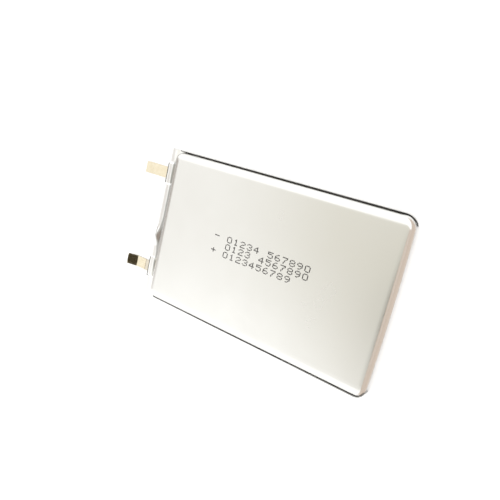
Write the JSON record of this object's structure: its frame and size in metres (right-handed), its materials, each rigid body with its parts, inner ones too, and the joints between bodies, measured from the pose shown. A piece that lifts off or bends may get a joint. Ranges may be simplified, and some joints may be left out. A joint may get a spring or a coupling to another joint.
{
  "type": "pouch battery cell",
  "caption": "Flat rectangular lithium-polymer pouch cell with folded side seals, a sealed ledge at one end and two bendable foil tabs.",
  "frame": {"origin": "centre of the flat back face of the body, the tabs not counted", "axes": "+X along the cell, away from the tabs; +Y across it, towards the negative tab; +Z through its thickness, out of the drawn cup side"},
  "size_m": [0.1002, 0.054, 0.0048],
  "materials": {
    "pouch_face": "satin, nylon-faced aluminium laminate",
    "pouch_back": "satin, nylon-faced aluminium laminate",
    "clear_glue": "clear",
    "cathode_coating": "matt black oxide coating on aluminium foil",
    "anode_coating": "matt graphite coating on copper foil",
    "separator_film": "white microporous film",
    "green_tape": "polyester tape",
    "bonding_tape": "double-sided tape",
    "amber_tape": "polyimide tape",
    "aluminium_tab": "bright foil",
    "nickel_tab": "bright nickel foil, slightly golden",
    "tab_sealant": "black modified polypropylene"
  },
  "bodies": {
    "cell": {"pouch_cup": "pouch_face", "pouch_back": "pouch_back", "side_fold_glue": "clear_glue", "cathode_ribbon": "cathode_coating", "anode_ribbon": "anode_coating", "separator_inner": "separator_film", "separator_outer": "separator_film", "winding_finish_tape": "green_tape", "roll_end_tape": "green_tape", "roll_bonding_tape": "bonding_tape", "positive_tab_tape": "amber_tape", "negative_tab_tape": "amber_tape", "positive_tab_lead": "aluminium_tab", "negative_tab_lead": "nickel_tab", "positive_sealant_upper": "tab_sealant", "positive_sealant_lower": "tab_sealant", "negative_sealant_upper": "tab_sealant", "negative_sealant_lower": "tab_sealant"},
    "positive_tab": {"positive_tab_stub": "aluminium_tab", "positive_extension_strip": "nickel_tab"},
    "positive_tab_end": {"positive_tab_tip": "nickel_tab"},
    "negative_tab": {"negative_tab_middle": "nickel_tab"},
    "negative_tab_end": {"negative_tab_tip": "nickel_tab"}
  },
  "joints": [
    {"name": "positive_root_bend", "type": "hinge", "parent": "cell", "child": "positive_tab", "pos_m": [-0.0459, -0.0172, 0.00024], "axis": [0, 1, 0], "range_deg": [-90, 90]},
    {"name": "positive_end_bend", "type": "hinge", "parent": "positive_tab", "child": "positive_tab_end", "pos_m": [-0.051, -0.0172, 0.00034], "axis": [0, 1, 0], "range_deg": [-90, 90]},
    {"name": "negative_root_bend", "type": "hinge", "parent": "cell", "child": "negative_tab", "pos_m": [-0.0459, 0.018, 0.00024], "axis": [0, 1, 0], "range_deg": [-90, 90]},
    {"name": "negative_end_bend", "type": "hinge", "parent": "negative_tab", "child": "negative_tab_end", "pos_m": [-0.051, 0.018, 0.00024], "axis": [0, 1, 0], "range_deg": [-90, 90]}
  ]
}
